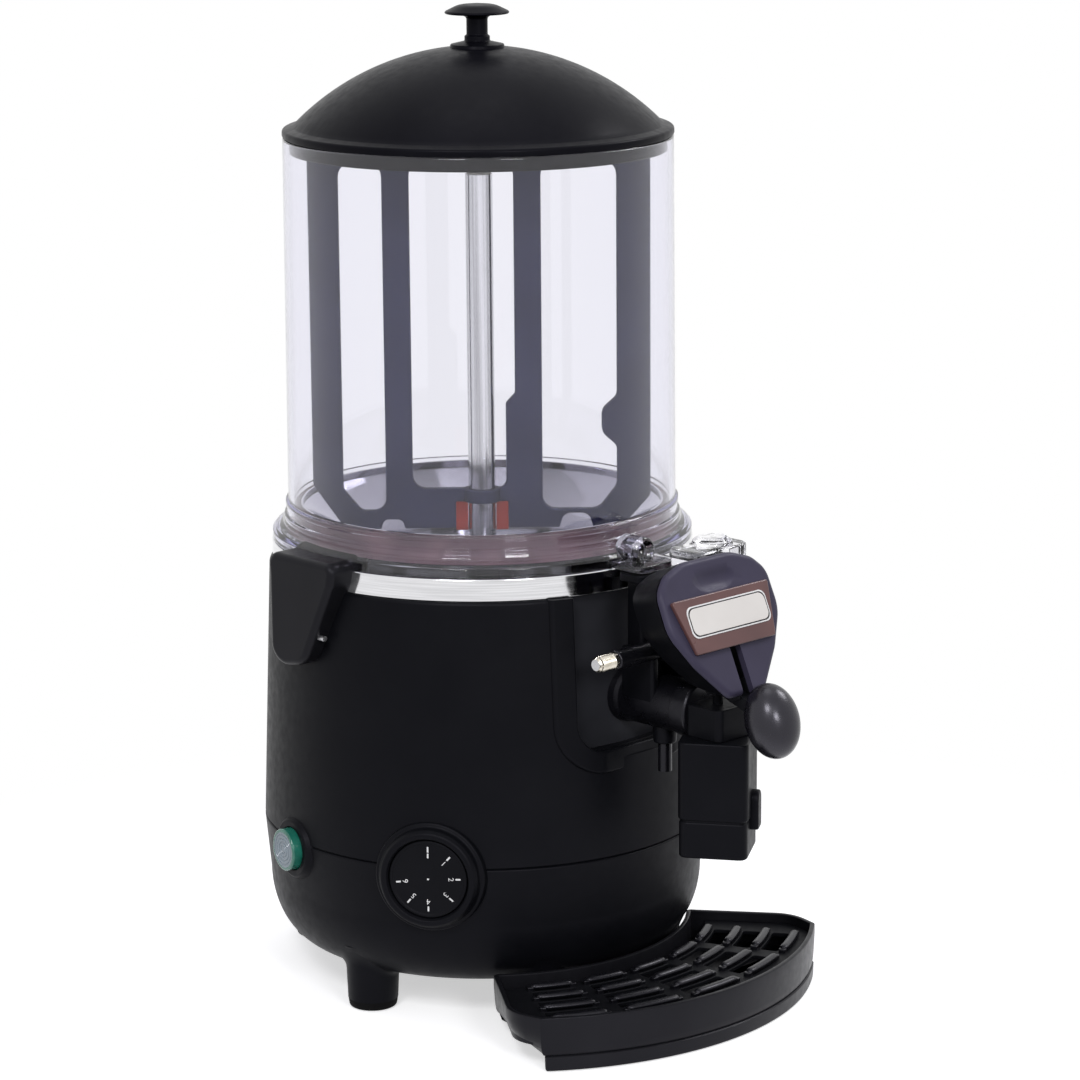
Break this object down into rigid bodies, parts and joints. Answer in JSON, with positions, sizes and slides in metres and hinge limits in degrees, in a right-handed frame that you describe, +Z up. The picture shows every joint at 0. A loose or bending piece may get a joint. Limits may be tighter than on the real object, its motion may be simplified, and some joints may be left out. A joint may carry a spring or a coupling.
{
  "type": "hot chai dispenser",
  "caption": "Countertop hot chai dispenser: black round heated base, clear jar with stirrer and domed lid, lever tap at the front over a drip tray.",
  "frame": {"origin": "centre of the bounding box at the floor", "axes": "+Z up along the jar, -Y to the front where the tap is, +X to the right seen from the front"},
  "size_m": [0.28, 0.3852, 0.58],
  "materials": {
    "black_shell": "satin black moulded shell",
    "black_detail": "matt black moulding",
    "clear_jar": "clear polycarbonate with a lilac tint",
    "steel": "polished stainless steel",
    "heater_steel": "heat-tinted element sheath",
    "motor_paint": "dark painted can",
    "red_silicone": "red food-grade silicone",
    "foot_rubber": "black rubber",
    "pale_plastic": "off-white technical plastic",
    "brown_plaque": "brown moulded plaque",
    "cream_label": "plain cream label",
    "green_button": "translucent green cap"
  },
  "bodies": {
    "base": {"upper_housing": "black_shell", "lower_base": "black_shell", "feet": "black_shell", "foot_pads": "foot_rubber", "base_screws": "steel", "handles": "black_shell", "handle_screws": "steel", "water_tank": "steel", "heater": "heater_steel", "tank_spacers": "steel", "motor_bracket": "steel", "gearbox": "motor_paint", "motor": "motor_paint", "bracket_nuts": "steel", "thermostat": "pale_plastic", "dial_bezel": "black_shell", "switch_body": "black_detail", "switch_bezel": "black_shell", "cord_gland": "black_detail", "terminal_block": "pale_plastic"},
    "drive": {"drive_shaft": "steel"},
    "dial": {"thermostat_dial": "black_detail"},
    "button": {"power_button": "green_button"},
    "jar_unit": {"jar": "clear_jar", "floor_dish": "steel", "dish_gasket": "red_silicone", "column_tube": "steel", "shaft_bush": "pale_plastic", "outlet_seal": "red_silicone", "tap_gasket": "red_silicone", "tap_body": "black_shell", "tap_screws": "steel", "tap_spigot": "black_detail", "valve_cap": "black_detail", "nozzle": "black_detail", "pivot_pin": "steel", "pin_nuts": "steel", "shield": "black_shell", "shield_screws": "steel", "plaque": "brown_plaque", "label": "cream_label", "valve_spring": "steel"},
    "valve": {"valve_piston": "black_detail", "valve_seal": "red_silicone", "cross_pin": "steel"},
    "tap_lever": {"lever": "black_shell", "ball_knob": "black_shell"},
    "lid_unit": {"lid": "black_shell", "lid_knob": "black_shell", "knob_screw": "steel"},
    "stirrer_unit": {"stirrer": "black_detail", "stirrer_wipers": "red_silicone"},
    "tray": {"drip_tray": "black_shell"},
    "tray_grid": {"drip_grid": "black_detail"}
  },
  "joints": [
    {"name": "jar_lift", "type": "slide", "parent": "base", "child": "jar_unit", "axis": [0, 0, 1], "range_m": [0, 0.12]},
    {"name": "lid_lift", "type": "slide", "parent": "jar_unit", "child": "lid_unit", "axis": [0, 0, 1], "range_m": [0, 0.1]},
    {"name": "drive_spin", "type": "hinge", "parent": "base", "child": "drive", "pos_m": [0, 0.05475, 0.2], "axis": [0, 0, 1], "continuous": true},
    {"name": "stirrer_spin", "type": "hinge", "parent": "jar_unit", "child": "stirrer_unit", "pos_m": [0, 0.05475, 0.38], "axis": [0, 0, 1], "continuous": true},
    {"name": "lever_swing", "type": "hinge", "parent": "jar_unit", "child": "tap_lever", "pos_m": [0, -0.09525, 0.2225], "axis": [-1, 0, 0], "range_deg": [0, 20], "stiffness_Nm_per_rad": 1.5, "springref_deg": -14.32},
    {"name": "valve_lift", "type": "slide", "parent": "jar_unit", "child": "valve", "axis": [0, 0, 1], "range_m": [0, 0.0148], "deforming": ["valve_spring"]},
    {"name": "dial_turn", "type": "hinge", "parent": "base", "child": "dial", "pos_m": [0, 0.05475, 0.0935], "axis": [0.848, 0.5299, 0], "range_deg": [0, 280]},
    {"name": "button_press", "type": "slide", "parent": "base", "child": "button", "axis": [0.9781, -0.2079, 0], "range_m": [0, 0.0025], "stiffness_N_per_m": 800},
    {"name": "tray_pull", "type": "slide", "parent": "base", "child": "tray", "axis": [0, -1, 0], "range_m": [0, 0.09]},
    {"name": "grid_lift", "type": "slide", "parent": "tray", "child": "tray_grid", "axis": [0, 0, 1], "range_m": [0, 0.04]}
  ],
  "couplings": [
    {"joint": "drive_spin", "follows": "stirrer_spin", "ratio": 1},
    {"joint": "valve_lift", "follows": "lever_swing", "m_per_rad": 0.04155}
  ]
}
